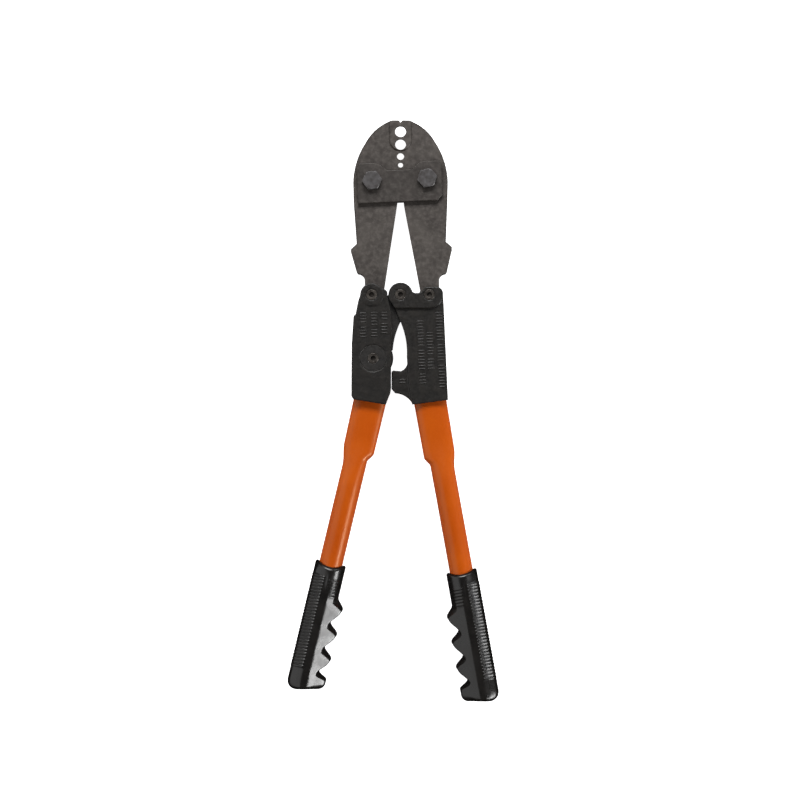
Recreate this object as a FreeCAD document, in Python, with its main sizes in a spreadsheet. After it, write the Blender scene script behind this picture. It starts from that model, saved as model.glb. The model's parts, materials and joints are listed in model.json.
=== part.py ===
import FreeCAD, Part
import math
import os
import re

import Sketcher

# Hand crimping tool with compound leverage, lying flat. Millimetres.
# The design frame has X across the handles, Y along the tool towards the jaws and Z through its
# thickness, with the handles' common hinge at (0, 0, 0). At the end every piece is shifted so that the
# origin lies in the middle of the tool's footprint, at the height of its lowest point.

DIMENSIONS = {
    # linkage: three pins in a line when the jaws are closed
    "link_half": 23.5,          # handle hinge to each link pin
    "pivot_rise": 93.8,         # link pins up to the jaw bolts
    "pivot_half": 22.4,         # half the distance between the jaw bolts
    "strap_tilt": 2.3,          # the straps sit slightly askew on the jaws, degrees
    "strap_shift": -0.8,
    "running_gap": 0.05,        # radial clearance of a pin in its bore
    "press_gap": 0.02,          # radial clearance of a fixed pin
    "side_gap": 0.3,            # clearance between pieces that slide past each other
    "travel_slot": 5.6,         # length of the slot in the left jaw
    "slot_ease": 0.65,          # clearance of the bolt across that slot
    "beyond": 60.0,             # a distance well past the edge of any piece
    # jaws
    "jaw_half": 7.0,            # half the thickness
    "nose_rise": 141.7,
    "nose_half": 7.0,
    "nose_notch": 1.9,
    "notch_half": 1.3,
    "crown_across": 28.4,
    "crown_rise": 123.6,
    "crown_radius": 38.5,
    "cheek_radius": 61.0,
    "jaw_across": 38.5,
    "cheek_rise": 91.3,
    "cheek_across": 38.1,
    "waist_across": 36.3,
    "waist_rise": 42.2,
    "shoulder_across": 41.1,
    "shoulder_rise": 36.7,
    "shoulder_blunt": 2.6,       # height of the flat on the shoulder's tip
    "shoulder_foot": 35.6,
    "shoulder_low": 16.6,
    "foot_corner": 1.0,
    "foot_rise": 1.5,
    "foot_round": 6.0,
    "tail_across": 30.2,
    "tail_top": 12.4,
    "tail_low": 4.0,
    "tail_end": 2.0,
    "tail_inside": 14.9,
    "tail_eye": 8.2,
    "crotch_half": 3.05,
    "crotch_rise": 71.0,
    "crotch_top": 95.3,
    "lean_start": 75.0,
    "tail_lean": 0.018,         # sideways lean of both tails per millimetre
    "die_pad_half": 9.55,
    "die_pad_centre": 126.0,
    "die_pad_height": 1.5,
    "die_pad_slope": 1.3,
    "die_pad_top_gap": 0.9,
    "jaw_chamfer": 0.9,
    # die grooves, from the nose down
    "die_one_rise": 132.6, "die_one_radius": 4.5,
    "die_two_rise": 122.2, "die_two_radius": 4.4,
    "die_three_rise": 112.5, "die_three_radius": 2.9,
    "die_four_rise": 105.5, "die_four_radius": 2.1,
    # straps
    "strap_thick": 5.0,
    "strap_half": 34.6,
    "strap_below": 18.65,
    "strap_lobe": 14.4,
    "strap_waist": 7.9,
    "strap_hollow": 3.0,
    "strap_corner": 4.0,
    "strap_cut": 4.6,
    "strap_chamfer": 0.7,
    # jaw bolts
    "bolt_radius": 4.76,
    "hex_across_flats": 14.29,
    "hex_inset": 0.1,            # the top circle of a crowned hexagon, inside its flats
    "bolt_head": 6.2,
    "bolt_tail": 1.0,
    "nut_height": 5.6,
    "lock_washer_thick": 1.7,
    "lock_washer_radius": 8.2,
    "lock_washer_split": 0.8,
    "lock_washer_turn": 40.0,
    "left_bolt_turn": 5.0,
    "right_bolt_turn": 12.0,
    "left_nut_turn": 22.0,
    "right_nut_turn": 51.0,
    "adjuster_nut_turn": 10.0,
    # link pins
    "pin_radius": 4.5,
    "pin_drill": 2.2,
    "pin_drill_deep": 3.0,
    "pin_proud": 0.4,
    "pin_chamfer": 0.5,
    # right handle casting
    "ear_half": 13.3,           # half thickness over the raised ears
    "right_half": 10.5,         # half thickness of the body below them
    "lobe_radius": 9.85,
    "ear_radius": 11.0,
    "ear_top": 6.4,
    "ear_foot": 10.9,
    "web_top": 12.0,
    "right_edge_top": 35.2,
    "right_edge_low": 38.6,
    "casting_foot": 85.6,
    "casting_toe": 89.4,
    "apex_across": -0.2,
    "apex_drop": 21.6,
    "bay_across": 5.1,
    "bay_drop": 50.5,
    "lug_tip": 7.3,
    "lug_top": 61.5,
    "lug_low": 77.8,
    "lug_half": 8.4,
    "toe_across": 9.4,
    "web_curve": 62.0,
    "lug_curve": 8.6,
    "toe_curve": 17.0,
    "valley_curve": 6.5,
    "ear_corner": 5.4,
    # left handle casting
    "left_half": 13.0,
    "left_ear_half": 13.4,
    "left_ear_radius": 9.2,
    "left_edge_top": 34.4,
    "left_ledge_drop": 16.0,
    "left_ledge_across": 38.2,
    "left_edge_low": 40.0,
    "left_inner_edge": 7.7,
    "left_shoulder_drop": 5.0,
    "left_corner_drop": 82.6,
    "left_corner_foot": 85.0,
    "left_belly_drop": 76.0,
    "left_heel_drop": 80.0,
    "left_mid_drop": 40.0,
    "left_waist_drop": 29.0,
    "left_neck_drop": 14.0,
    "left_brow_drop": 4.2,
    "left_brow_rise": 2.4,
    "left_brow_top": 4.0,
    "left_toe_across": 12.0,
    "cavity_half": 10.0,
    "cavity_wall": 3.2,
    "cavity_floor": 69.0,
    # toggle arm
    "arm_half": 7.0,
    "arm_curve": 60.0,
    "arm_heel_across": 6.0, "arm_heel_drop": 6.4,
    "arm_apex_across": 0.3, "arm_apex_drop": 21.4,
    "arm_low_across": 6.3, "arm_low_drop": 45.0,
    "arm_foot": 55.7,
    "arm_back_drop": 19.0,
    "arm_flat": 14.1,            # the large eye's flat back, from its centre
    "arm_root_out": 32.5, "arm_root_in": 16.5, "arm_root_drop": 11.0,
    "arm_brow_across": 8.0, "arm_brow_rise": 3.4,
    "fork_foot": 22.0,
    "fork_half": 9.7,
    "arm_eye": 8.8,
    "adjuster_across": 22.2,
    "adjuster_drop": 51.7,
    "adjuster_eye": 16.3,
    "eccentric_radius": 9.0,
    "eccentric_offset": 0.8,
    "eccentric_flange": 10.7,
    "flange_thick": 2.5,
    "eccentric_sunk": 0.4,
    "washer_radius": 11.8,
    "washer_thick": 1.6,
    # tubes and grips: distances are measured down each tube from its casting
    "left_tilt": 13.4, "left_root_across": 25.4, "left_root_drop": 87.2,
    "right_tilt": 10.3, "right_root_across": 24.6, "right_root_drop": 88.0,
    "tube_radius": 9.525,
    "tube_wall": 1.65,
    "tube_tuck": 15.0,
    "socket_reach": 12.0,        # how far past the casting its socket is cut
    "socket_gap": 0.5,
    "root_half": 13.25,
    "root_shift": 0.25,
    "flat_half": 12.95,
    "flat_thick_half": 5.0,
    "flat_shift": 0.55,
    "neck_start": 38.0,
    "neck_step": 50.6,
    "neck_end": 74.0,
    "neck_half": 10.1,
    "neck_thick_half": 7.6,
    "left_grip_start": 134.3, "left_grip_end": 241.0,
    "right_grip_start": 138.6, "right_grip_end": 246.8,
    "grip_radius": 12.6,
    "grip_closed": 8.0,
    "grip_bore_gap": 1.0,
    "grip_round": 7.0,
    "ridge_reach": 18.3,
    "ridge_half": 7.5,
    "ridge_pitch": 20.6,
    "ridge_first": 39.6,
    "ridge_count": 4,
    "ridge_land": 1.6,
    "ridge_valley": 9.4,
    "ridge_sunk": 0.2,
    "ridge_toe": 4.0,
    "ridge_toe_round": 5.0,
    "ridge_end_gap": 0.5,
}

doc = FreeCAD.newDocument("crimping_tool")
sheet = doc.addObject("Spreadsheet::Sheet", "Dims")
for row, (alias, size) in enumerate(DIMENSIONS.items(), start=1):
    sheet.set(f"A{row}", alias)
    sheet.set(f"B{row}", str(size))
    sheet.setAlias(f"B{row}", alias)
doc.recompute()

UP = FreeCAD.Vector(0, 0, 1)
nodes = []


def bound(text):
    """Write the sheet's name in front of every dimension in an expression."""
    return re.sub(r"[a-z][a-z_]+", lambda word: "Dims." + word.group() if word.group() in DIMENSIONS
                  else word.group(), text)


def value(text):
    """The number that an expression of dimensions gives."""
    result = sheet.evalExpression(bound(text))
    return float(getattr(result, "Value", result))


def keep(item, label):
    """Register a finished piece under its node name."""
    item.Label = label
    nodes.append(item)
    return item


# ---------------------------------------------------------------- sketches and features

def new_body(name):
    return doc.addObject("PartDesign::Body", name)


def origin_plane(body, role):
    return next(plane for plane in body.Origin.OriginFeatures if plane.Role == role)


def new_sketch(body, role="XY_Plane", offset=None):
    sketch = body.newObject("Sketcher::SketchObject", body.Name + "_sketch")
    sketch.AttachmentSupport = [(origin_plane(body, role), "")]
    sketch.MapMode = "FlatFace"
    if offset:
        sketch.AttachmentOffset = offset
    return sketch


def fix_point(sketch, item, point, across, along):
    """Hold one point of a sketch at coordinates given by two expressions."""
    for kind, text in (("DistanceX", across), ("DistanceY", along)):
        index = sketch.addConstraint(Sketcher.Constraint(kind, -1, 1, item, point, value(text)))
        sketch.setExpression(f"Constraints[{index}]", bound(text))


def add_circle(sketch, across, along, radius):
    centre = FreeCAD.Vector(value(across), value(along), 0)
    item = sketch.addGeometry(Part.Circle(centre, UP, value(radius)), False)
    fix_point(sketch, item, 3, across, along)
    index = sketch.addConstraint(Sketcher.Constraint("Radius", item, value(radius)))
    sketch.setExpression(f"Constraints[{index}]", bound(radius))


def arc_between(start, end, radius, bulge):
    """The shorter arc from start to end, on the right of the chord for bulge 1 and the left for -1.

    It always runs anticlockwise, so for bulge -1 its own start is the given end.
    """
    chord = end - start
    side = FreeCAD.Vector(-chord.y, chord.x, 0).normalize() * bulge
    centre = (start + end) / 2 + side * math.sqrt(max(radius ** 2 - (chord.Length / 2) ** 2, 0))
    first, last = (start, end) if bulge > 0 else (end, start)
    angles = [math.atan2(point.y - centre.y, point.x - centre.x) for point in (first, last)]
    if angles[1] < angles[0]:
        angles[1] += 2 * math.pi
    return Part.ArcOfCircle(Part.Circle(centre, UP, radius), *angles)


def add_outline(sketch, corners):
    """A closed outline. A corner is (x, y), or (x, y, radius, bulge) if an arc leaves it.

    A half circle has an upright chord, and is held by its centre instead of its radius.
    """
    points = [FreeCAD.Vector(value(corner[0]), value(corner[1]), 0) for corner in corners]
    items = []
    for index, corner in enumerate(corners):
        start, end = points[index], points[(index + 1) % len(points)]
        if len(corner) == 2:
            items.append(sketch.addGeometry(Part.LineSegment(start, end), False))
        else:
            curve = arc_between(start, end, value(corner[2]), corner[3])
            items.append(sketch.addGeometry(curve, False))
    ends = [(2, 1) if len(corner) > 2 and corner[3] < 0 else (1, 2) for corner in corners]
    for index, (corner, item) in enumerate(zip(corners, items)):
        fix_point(sketch, item, ends[index][0], corner[0], corner[1])
        after = (index + 1) % len(items)
        sketch.addConstraint(Sketcher.Constraint("Coincident", item, ends[index][1],
                                                 items[after], ends[after][0]))
        if len(corner) > 2:
            half_circle = abs((points[after] - points[index]).Length / 2 - value(corner[2])) < 1e-6
            rule = (Sketcher.Constraint("DistanceX", -1, 1, item, 3, value(corner[0])) if half_circle
                    else Sketcher.Constraint("Radius", item, value(corner[2])))
            number = sketch.addConstraint(rule)
            sketch.setExpression(f"Constraints[{number}]", bound(corner[0] if half_circle else corner[2]))


def slab(body, sketch, half, cut=False):
    """Pad or pocket a sketch by the same amount on both sides of the middle plane."""
    feature = body.newObject("PartDesign::Pocket" if cut else "PartDesign::Pad", body.Name + "_slab")
    feature.Profile = sketch
    feature.SideType = "Symmetric"
    feature.setExpression("Length", bound(f"2 * ({half})"))
    doc.recompute()
    return feature


def pad_outline(body, corners, half):
    sketch = new_sketch(body)
    add_outline(sketch, corners)
    return slab(body, sketch, half)


def cut_outline(body, corners, half):
    sketch = new_sketch(body)
    add_outline(sketch, corners)
    return slab(body, sketch, half, cut=True)


def pad_circle(body, across, along, radius, half):
    sketch = new_sketch(body)
    add_circle(sketch, across, along, radius)
    return slab(body, sketch, half)


def cut_circle(body, across, along, radius, half):
    sketch = new_sketch(body)
    add_circle(sketch, across, along, radius)
    return slab(body, sketch, half, cut=True)


def dress(body, kind, size, wanted):
    """Fillet or chamfer the edges of the body's tip that the test picks."""
    base = body.Tip
    names = [f"Edge{number}" for number, edge in enumerate(base.Shape.Edges, start=1) if wanted(edge)]
    feature = body.newObject("PartDesign::" + kind, body.Name + "_" + kind.lower())
    feature.Base = (base, names)
    feature.setExpression("Radius" if kind == "Fillet" else "Size", bound(size))
    doc.recompute()
    return feature


def flat_at(edge, height, slack=0.01):
    """Whether an edge lies wholly at one height on either face of a plate."""
    box = edge.BoundBox
    return box.ZLength < slack and abs(abs(box.ZMin) - height) < slack


# ---------------------------------------------------------------- head

PIVOTS = {
    "left": ("strap_shift - pivot_half * cos(strap_tilt)", "pivot_rise - pivot_half * sin(strap_tilt)"),
    "right": ("strap_shift + pivot_half * cos(strap_tilt)", "pivot_rise + pivot_half * sin(strap_tilt)"),
}
SIDES = {"left": -1, "right": 1}


def strap(name, face):
    """One of the two plates that hold the jaws; face is 1 in front and -1 behind."""
    body = new_body(name)
    hollow = "sqrt((strap_lobe + strap_hollow) ^ 2 - (strap_waist + strap_hollow) ^ 2)"
    share = "strap_lobe / (strap_lobe + strap_hollow)"
    touch = f"{share} * (strap_waist + strap_hollow)"
    sketch = new_sketch(body)
    add_outline(sketch, [
        ("-strap_half", "-strap_below"),
        ("strap_half - strap_cut", "-strap_below"),
        ("strap_half", "strap_cut - strap_below"),
        ("strap_half", "strap_lobe - strap_corner", "strap_corner", 1),
        ("strap_half - strap_corner", "strap_lobe"),
        ("pivot_half", "strap_lobe", "strap_lobe", 1),
        (f"pivot_half - {share} * {hollow}", touch, "strap_hollow", -1),
        (f"pivot_half - {hollow}", "strap_waist"),
        (f"{hollow} - pivot_half", "strap_waist", "strap_hollow", -1),
        (f"{share} * {hollow} - pivot_half", touch, "strap_lobe", 1),
        ("-pivot_half", "strap_lobe"),
        ("strap_corner - strap_half", "strap_lobe", "strap_corner", 1),
        ("-strap_half", "strap_lobe - strap_corner"),
    ])
    pad = body.newObject("PartDesign::Pad", name + "_pad")
    pad.Profile = sketch
    pad.setExpression("Length", bound("strap_thick"))
    doc.recompute()
    outer = value("strap_thick") if face > 0 else 0
    dress(body, "Chamfer", "strap_chamfer", lambda edge: flat_at(edge, outer))
    for side in SIDES.values():
        cut_circle(body, f"{side} * pivot_half", "0", "bolt_radius + running_gap", "2 * strap_thick")
    height = value("jaw_half + side_gap") if face > 0 else -value("jaw_half + side_gap + strap_thick")
    body.Placement = FreeCAD.Placement(
        FreeCAD.Vector(value("strap_shift"), value("pivot_rise"), height),
        FreeCAD.Rotation(UP, value("strap_tilt")))
    return keep(body, name)


def part_object(kind, name, **sizes):
    """A Part primitive whose sizes are bound to the sheet."""
    item = doc.addObject("Part::" + kind, name)
    for size, text in sizes.items():
        item.setExpression(size, bound(str(text)))
    doc.recompute()
    return item


def at(item, across, along, height, turn=0):
    """Place an object at coordinates given by expressions, turned about Z."""
    item.Placement = FreeCAD.Placement(
        FreeCAD.Vector(value(across), value(along), value(height)), FreeCAD.Rotation(UP, turn))
    return item


def fuse(name, pieces):
    item = doc.addObject("Part::MultiFuse", name)
    item.Shapes = pieces
    doc.recompute()
    return item


def cut(name, base, tool):
    item = doc.addObject("Part::Cut", name)
    item.Base = base
    item.Tool = tool
    doc.recompute()
    return item


def group(name, pieces):
    item = doc.addObject("Part::Compound", name)
    item.Links = pieces
    doc.recompute()
    return item


def hexagon(name, height, turn, crowned_down=False):
    """A hexagon blank with chamfered corners on its outer side, standing on its base at Z = 0."""
    prism = part_object("Prism", name + "_prism", Circumradius="hex_across_flats / sqrt(3)",
                        Height=height)
    prism.Polygon = 6
    prism.Placement.Rotation = FreeCAD.Rotation(UP, turn)
    wide, narrow = f"hex_across_flats / 2 + sqrt(3) * ({height})", "hex_across_flats / 2 - hex_inset"
    cone = part_object("Cone", name + "_crown", Radius1=narrow if crowned_down else wide,
                       Radius2=wide if crowned_down else narrow, Height=height)
    common = doc.addObject("Part::MultiCommon", name + "_blank")
    common.Shapes = [prism, cone]
    doc.recompute()
    return common


def jaw_bolt(side):
    """A hexagon-head bolt through both straps and a jaw, with its thread end towards the back."""
    name = side + "_jaw_bolt"
    head = hexagon(name + "_head", "bolt_head", value(side + "_bolt_turn"))
    stack = "jaw_half + side_gap + strap_thick"
    shank_length = f"2 * ({stack}) + lock_washer_thick + nut_height + bolt_tail"
    shank = part_object("Cylinder", name + "_shank", Radius="bolt_radius", Height=shank_length)
    shank.Placement.Base = UP * -value(shank_length)
    bolt = fuse(name, [head, shank])
    at(bolt, *PIVOTS[side], stack)
    return keep(bolt, name)


def jaw_bolt_washers():
    """Split spring washers under the nuts, behind the rear strap."""
    rings = []
    for side in SIDES:
        disc = part_object("Cylinder", side + "_washer_disc", Radius="lock_washer_radius",
                           Height="lock_washer_thick")
        hole = part_object("Cylinder", side + "_washer_hole", Radius="bolt_radius + running_gap",
                           Height="lock_washer_thick")
        split = part_object("Box", side + "_washer_split", Length="lock_washer_radius",
                            Width="lock_washer_split", Height="lock_washer_thick")
        ring = cut(side + "_washer_ring", cut(side + "_washer_open", disc, hole), split)
        at(ring, *PIVOTS[side], "-(jaw_half + side_gap + strap_thick + lock_washer_thick)",
           value("lock_washer_turn"))
        rings.append(ring)
    return keep(group("jaw_bolt_lock_washers", rings), "jaw_bolt_lock_washers")


def nut(name, across, along, height, turn):
    """A hexagon nut with its crowned side down, its upper face at the given height."""
    blank = hexagon(name, "nut_height", turn, crowned_down=True)
    hole = part_object("Cylinder", name + "_bore", Radius="bolt_radius + press_gap", Height="nut_height")
    item = cut(name + "_cut", blank, hole)
    return at(item, across, along, f"{height} - nut_height")


def jaw_bolt_nuts():
    under = "-(jaw_half + side_gap + strap_thick + lock_washer_thick)"
    pair = [nut(side + "_nut", *PIVOTS[side], under, value(side + "_nut_turn")) for side in SIDES]
    return keep(group("jaw_bolt_nuts", pair), "jaw_bolt_nuts")


def jaw(side):
    """A forged jaw: half the die grooves, a shoulder on the outside and a tail for its link pin."""
    sign = SIDES[side]
    name = side + "_jaw"
    body = new_body(name)

    def leaning(across, along):
        return f"{sign} * ({across}) + tail_lean * (lean_start - ({along}))", along

    def lifted(across, along):
        return leaning(across, f"({along}) + {sign} * pivot_half * sin(strap_tilt)")

    def upright(across, along):
        return f"{sign} * ({across})", along

    corners = [
        upright("0", "nose_rise - nose_notch"),
        upright("notch_half", "nose_rise"),
        upright("nose_half", "nose_rise") + ("crown_radius", -sign),
        upright("crown_across", "crown_rise") + ("cheek_radius", -sign),
        upright("jaw_across", "cheek_rise"),
        upright("cheek_across", "lean_start"),
        lifted("waist_across", "waist_rise"),
        lifted("shoulder_across", "shoulder_rise + shoulder_blunt / 2"),
        lifted("shoulder_across", "shoulder_rise - shoulder_blunt / 2"),
        leaning("shoulder_foot + foot_corner", "shoulder_low + foot_rise"),
        leaning("shoulder_foot", "shoulder_low") + ("foot_round", sign),
        leaning("tail_across", "tail_top"),
        leaning("tail_across", "tail_low"),
        leaning("tail_inside", "tail_end"),
        upright("crotch_half", "crotch_rise"),
        upright("0", "crotch_top"),
    ]
    pad_outline(body, corners, "jaw_half")
    dress(body, "Chamfer", "jaw_chamfer",
          lambda edge: flat_at(edge, value("jaw_half")) and on_outside(edge, sign))
    pad_outline(body, [
        upright("0", "nose_rise - nose_notch"),
        upright("notch_half", "nose_rise"),
        upright("nose_half", "nose_rise"),
        upright("die_pad_half", "nose_rise - die_pad_top_gap"),
        upright("die_pad_half", "die_pad_centre") + ("die_pad_half", -sign),
        upright("0", "die_pad_centre - die_pad_half"),
    ], "jaw_half + die_pad_height")
    dress(body, "Chamfer", "die_pad_slope",
          lambda edge: flat_at(edge, value("jaw_half + die_pad_height")) and on_pad_rim(edge, sign))
    pad_circle(body, f"{sign} * link_half", "0", "tail_eye", "jaw_half")
    for die in ("one", "two", "three", "four"):
        cut_circle(body, "0", f"die_{die}_rise", f"die_{die}_radius", "jaw_half + 2 * die_pad_height")
    cut_circle(body, f"{sign} * link_half", "0", "pin_radius + running_gap", "jaw_half + 1")
    if side == "right":
        cut_circle(body, *PIVOTS[side], "bolt_radius + running_gap", "jaw_half + 1")
    else:
        across, along = PIVOTS[side]
        wide = "bolt_radius + slot_ease"
        cut_outline(body, [
            (across, f"{along} - ({wide})"),
            (f"{across} + travel_slot", f"{along} - ({wide})", wide, 1),
            (f"{across} + travel_slot", f"{along} + {wide}"),
            (across, f"{along} + {wide}", wide, 1),
        ], "jaw_half + 1")
    return keep(body, name)


def on_outside(edge, sign):
    """Whether an edge belongs to the outer rim of a jaw, from the nose down to the shoulder."""
    middle = edge.BoundBox.Center
    return sign * middle.x > value("nose_half") / 2 and middle.y > value("tail_top") and (
        sign * middle.x > value("tail_across") or middle.y > value("crown_rise"))


def on_pad_rim(edge, sign):
    """Whether an edge belongs to the outer rim of the raised die pad."""
    middle = edge.BoundBox.Center
    return sign * middle.x > value("die_pad_half") / 3 and middle.y < value("nose_rise - 1")


# ---------------------------------------------------------------- pins

def drilled_pin(name, across, along, low, high):
    """A plain pin with a centre drilling and a small chamfer at both ends."""
    length = f"({high}) - ({low})"
    shaft = part_object("Cylinder", name + "_shaft", Radius="pin_radius",
                        Height=f"{length} - 2 * pin_chamfer")
    shaft.Placement.Base = UP * value("pin_chamfer")
    ends = []
    for end in ("low", "high"):
        wide, narrow = "pin_radius", "pin_radius - pin_chamfer"
        cone = part_object("Cone", f"{name}_{end}", Radius1=narrow if end == "low" else wide,
                           Radius2=wide if end == "low" else narrow, Height="pin_chamfer")
        cone.Placement.Base = UP * (0 if end == "low" else value(f"{length} - pin_chamfer"))
        ends.append(cone)
    solid = fuse(name + "_solid", [shaft] + ends)
    for end in ("low", "high"):
        drill = part_object("Cylinder", f"{name}_{end}_drill", Radius="pin_drill",
                            Height="pin_drill_deep")
        drill.Placement.Base = UP * (0 if end == "low" else value(f"{length} - pin_drill_deep"))
        solid = cut(f"{name}_{end}_cut", solid, drill)
    at(solid, across, along, low)
    return keep(solid, name)


# ---------------------------------------------------------------- handle castings

def tube_socket(body, side):
    """A slot for the flattened end of the tube, up into the casting along the tube's axis."""
    sign = SIDES[side]
    tilt = value(side + "_tilt") * sign
    reach = value("socket_reach")
    away = FreeCAD.Vector(math.sin(math.radians(tilt)), -math.cos(math.radians(tilt)), 0)
    root = FreeCAD.Vector(sign * value(side + "_root_across"), -value(side + "_root_drop"), 0)
    start = root + away * reach
    offset = FreeCAD.Placement(FreeCAD.Vector(start.x, 0, -start.y),
                               FreeCAD.Rotation(FreeCAD.Vector(0, 1, 0), tilt))
    sketch = new_sketch(body, "XZ_Plane", offset)
    half, thick = "root_half + running_gap", "flat_thick_half + running_gap"
    middle = f"{-sign} * root_shift"
    add_outline(sketch, [
        (f"{middle} - ({half}) + {thick}", f"-({thick})"),
        (f"{middle} + {half} - ({thick})", f"-({thick})", thick, 1),
        (f"{middle} + {half} - ({thick})", thick),
        (f"{middle} - ({half}) + {thick}", thick, thick, 1),
    ])
    before = body.Shape.Volume
    pocket = body.newObject("PartDesign::Pocket", body.Name + "_socket")
    pocket.Profile = sketch
    pocket.setExpression("Length", bound("tube_tuck + socket_reach + socket_gap"))
    doc.recompute()
    if before - pocket.Shape.Volume < 1:
        pocket.Reversed = True
        doc.recompute()
    return pocket


def right_casting():
    """The right handle's casting: raised ears for two pins, a solid body and a stop lug."""
    body = new_body("right_handle_casting")
    pad_outline(body, [
        ("-0.55 * lobe_radius", "-0.85 * lobe_radius"),
        ("apex_across", "-apex_drop", "web_curve", -1),
        ("bay_across", "-bay_drop"),
        ("bay_across + 1.6", "-(lug_low - 4)"),
        ("toe_across", "-casting_toe"),
        ("right_edge_low", "-casting_foot"),
        ("right_edge_top", "-ear_foot"),
        ("right_edge_top - 0.6", "-1"),
        ("link_half", "-1"),
    ], "right_half")
    pad_outline(body, [
        ("bay_across + 0.6", "-(bay_drop + 3)", "lug_curve", -1),
        ("0.4", "-(lug_top + 0.6)"),
        ("-(lug_tip - 1)", "-lug_top"),
        ("-lug_tip", "-(lug_top + 1.2)"),
        ("-lug_tip", "-(lug_low - 1)"),
        ("-(lug_tip - 3)", "-(lug_low + 2.4)", "toe_curve", -1),
        ("toe_across", "-(casting_toe - 1.2)"),
        ("toe_across + 6", "-casting_foot"),
        ("toe_across + 6", "-bay_drop"),
    ], "lug_half")
    pad_outline(body, [
        ("-0.72 * lobe_radius", "-0.69 * lobe_radius"),
        ("-0.47 * lobe_radius", "-ear_foot"),
        ("link_half + 1.2", "-ear_foot", "ear_radius + 1", 1),
        ("link_half + ear_radius", "-1"),
        ("link_half + ear_radius", "1.2", "ear_corner", 1),
        ("link_half + ear_corner", "ear_top"),
        ("link_half - 4", "ear_top", "valley_curve", -1),
        ("0.97 * lobe_radius", "0.24 * lobe_radius"),
    ], "ear_half")
    pad_circle(body, "0", "0", "lobe_radius", "ear_half")
    slot_half = "jaw_half + side_gap"
    cut_outline(body, [
        ("-beyond", "-web_top"),
        ("beyond", "-web_top"),
        ("beyond", "beyond"),
        ("-beyond", "beyond"),
    ], slot_half)
    cut_outline(body, [
        ("-beyond", "-web_top + 1"),
        ("apex_across + 5.6", "-web_top + 1"),
        ("apex_across + 0.9", "-(apex_drop + 1)"),
        ("-beyond", "-(apex_drop + 1)"),
    ], slot_half)
    for across in ("0", "link_half"):
        cut_circle(body, across, "0", "pin_radius + press_gap", "ear_half + 1")
    tube_socket(body, "right")
    return keep(body, "right_handle_casting")


def left_casting():
    """The left handle's casting: a channel round the toggle arm, open on its inner side."""
    body = new_body("left_handle_casting")
    pad_outline(body, [
        ("-(link_half + 0.78 * left_ear_radius)", "0.62 * left_ear_radius"),
        ("-left_edge_top", "-left_shoulder_drop"),
        ("-(left_ledge_across - 1.6)", "-left_ledge_drop"),
        ("-left_ledge_across", "-(left_ledge_drop + 1.2)"),
        ("-(left_edge_low - 0.3)", "-left_mid_drop"),
        ("-left_edge_low", "-left_corner_drop"),
        ("-(left_edge_low - 1.6)", "-left_corner_foot"),
        ("-left_toe_across", "-casting_toe"),
        ("-(left_inner_edge + 0.6)", "-left_heel_drop"),
        ("-left_inner_edge", "-left_belly_drop"),
        ("-left_inner_edge", "-left_mid_drop"),
        ("-(left_inner_edge - 1)", "-left_waist_drop"),
        ("-left_inner_edge", "-left_neck_drop"),
        ("-(left_inner_edge + 2.6)", "-left_brow_drop"),
        ("-(left_inner_edge + 3.1)", "left_brow_rise"),
        ("-(left_inner_edge + 4.6)", "left_brow_top"),
        ("-(link_half - 0.72 * left_ear_radius)", "0.72 * left_ear_radius"),
    ], "left_half")
    pad_circle(body, "-link_half", "0", "left_ear_radius", "left_ear_half")
    cut_outline(body, [
        ("-beyond", "-left_ledge_drop"),
        ("cavity_wall - left_edge_low", "-left_ledge_drop"),
        ("cavity_wall - left_edge_low", "-cavity_floor"),
        ("beyond", "-cavity_floor"),
        ("beyond", "beyond"),
        ("-beyond", "beyond"),
    ], "cavity_half")
    cut_circle(body, "-link_half", "0", "pin_radius + press_gap", "left_ear_half + 1")
    cut_circle(body, "-adjuster_across", "-adjuster_drop", "eccentric_flange + running_gap",
               "left_half + 1")
    tube_socket(body, "left")
    return keep(body, "left_handle_casting")


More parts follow.
